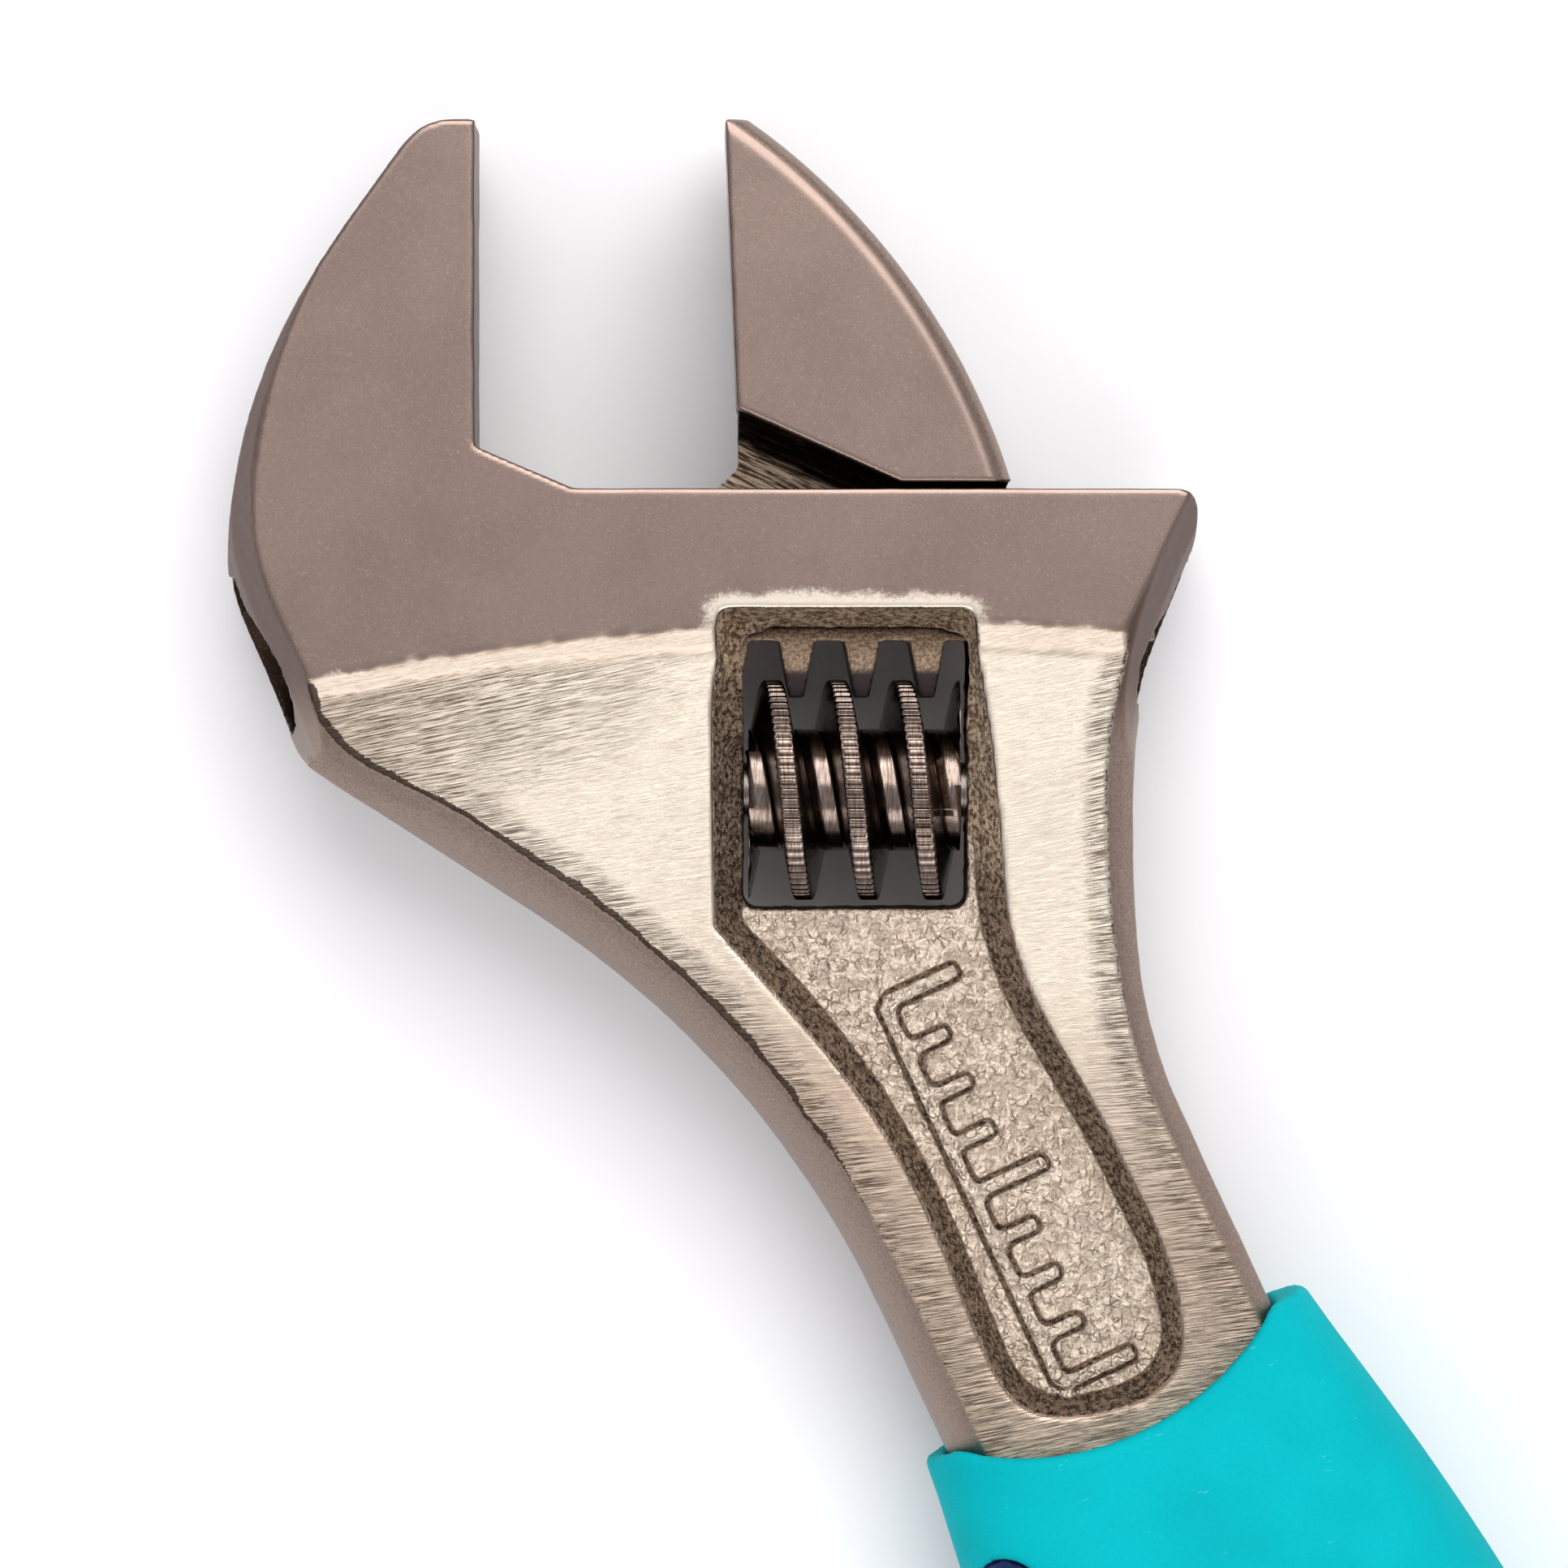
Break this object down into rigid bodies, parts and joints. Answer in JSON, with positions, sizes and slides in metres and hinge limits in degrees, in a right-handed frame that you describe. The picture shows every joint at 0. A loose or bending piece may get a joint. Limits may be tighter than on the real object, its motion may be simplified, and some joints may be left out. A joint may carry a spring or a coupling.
{
  "type": "adjustable wrench",
  "caption": "Adjustable wrench with a sliding lower jaw driven by a knurled worm, forged nickel-plated body, and a soft over-moulded grip with a hanging hole.",
  "frame": {"origin": "centre plane of the wrench at the fixed jaw's gripping face, 9.5 mm above the ledge that the movable jaw slides on", "axes": "+X is the direction in which the movable jaw opens, +Y points out of the jaws, +Z is the thickness"},
  "size_m": [0.0868, 0.1442, 0.0148],
  "materials": {
    "forged_steel": "satin nickel plate over a forged surface, ground on the face",
    "jaw_steel": "satin nickel plate",
    "worm_steel": "dark nickel, turned and knurled",
    "pin_steel": "turned",
    "spring_steel": "drawn wire",
    "grip_hard": "fine matte texture",
    "grip_soft": "soft satin elastomer"
  },
  "bodies": {
    "body": {"wrench_body": "forged_steel", "worm_pin": "pin_steel", "worm_spring": "spring_steel", "grip_core": "grip_hard", "grip_cover": "grip_soft"},
    "jaw": {"movable_jaw": "jaw_steel"},
    "worm": {"adjusting_worm": "worm_steel"}
  },
  "joints": [
    {"name": "jaw_slide", "type": "slide", "parent": "body", "child": "jaw", "axis": [1, 0, 0], "range_m": [-0.0117, 0.0082]},
    {"name": "worm_spin", "type": "hinge", "parent": "body", "child": "worm", "pos_m": [0.018, -0.0238, 0], "axis": [1, 0, 0], "range_deg": [-960, 1365]}
  ],
  "couplings": [
    {"joint": "worm_spin", "follows": "jaw_slide", "rad_per_m": -2026.8}
  ]
}
